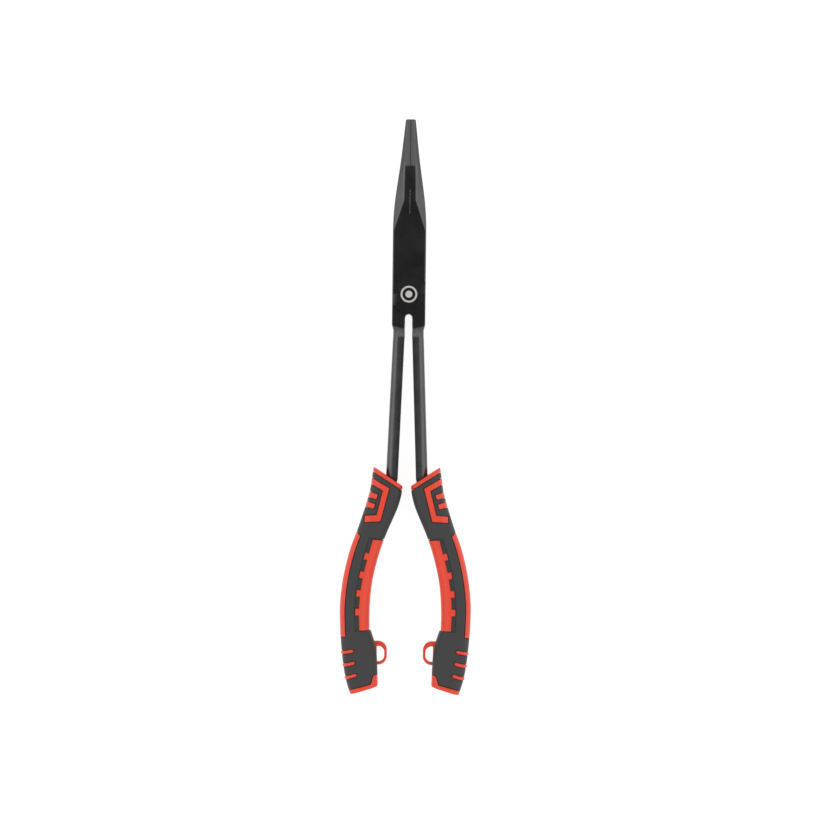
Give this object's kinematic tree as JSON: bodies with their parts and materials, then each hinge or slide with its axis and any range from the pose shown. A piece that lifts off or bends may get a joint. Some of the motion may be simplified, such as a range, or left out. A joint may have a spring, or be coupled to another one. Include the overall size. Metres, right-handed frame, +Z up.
{
  "type": "needle-nose pliers",
  "caption": "Long-reach needle-nose pliers with slim black jaws, a lap joint, long arms and curved two-colour grips with lanyard loops.",
  "frame": {"origin": "centre of the tool's footprint, on the plane that the undersides of the two grips rest on", "axes": "+Y along the tool towards the jaw tips, +X across the tool towards the grip of the front half, +Z up out of the tool's flat face, along the rivet"},
  "size_m": [0.0636, 0.28, 0.014],
  "materials": {
    "lever_steel": "black oxide and oil on forged, ground steel",
    "rivet_steel": "black coated rivet, ground flush, with a pale etched ring",
    "grip_core": "satin moulded hard plastic, red",
    "grip_overmould": "matt moulded soft elastomer, dark grey"
  },
  "bodies": {
    "rear_half": {"rear_lever": "lever_steel", "left_grip_core": "grip_core", "left_grip_overmould": "grip_overmould", "pivot_rivet": "rivet_steel"},
    "front_half": {"front_lever": "lever_steel", "right_grip_core": "grip_core", "right_grip_overmould": "grip_overmould"}
  },
  "joints": [
    {"name": "jaw_pivot", "type": "hinge", "parent": "rear_half", "child": "front_half", "pos_m": [0, 0.0547, 0.007], "axis": [0, 0, 1], "range_deg": [0, 53]}
  ]
}
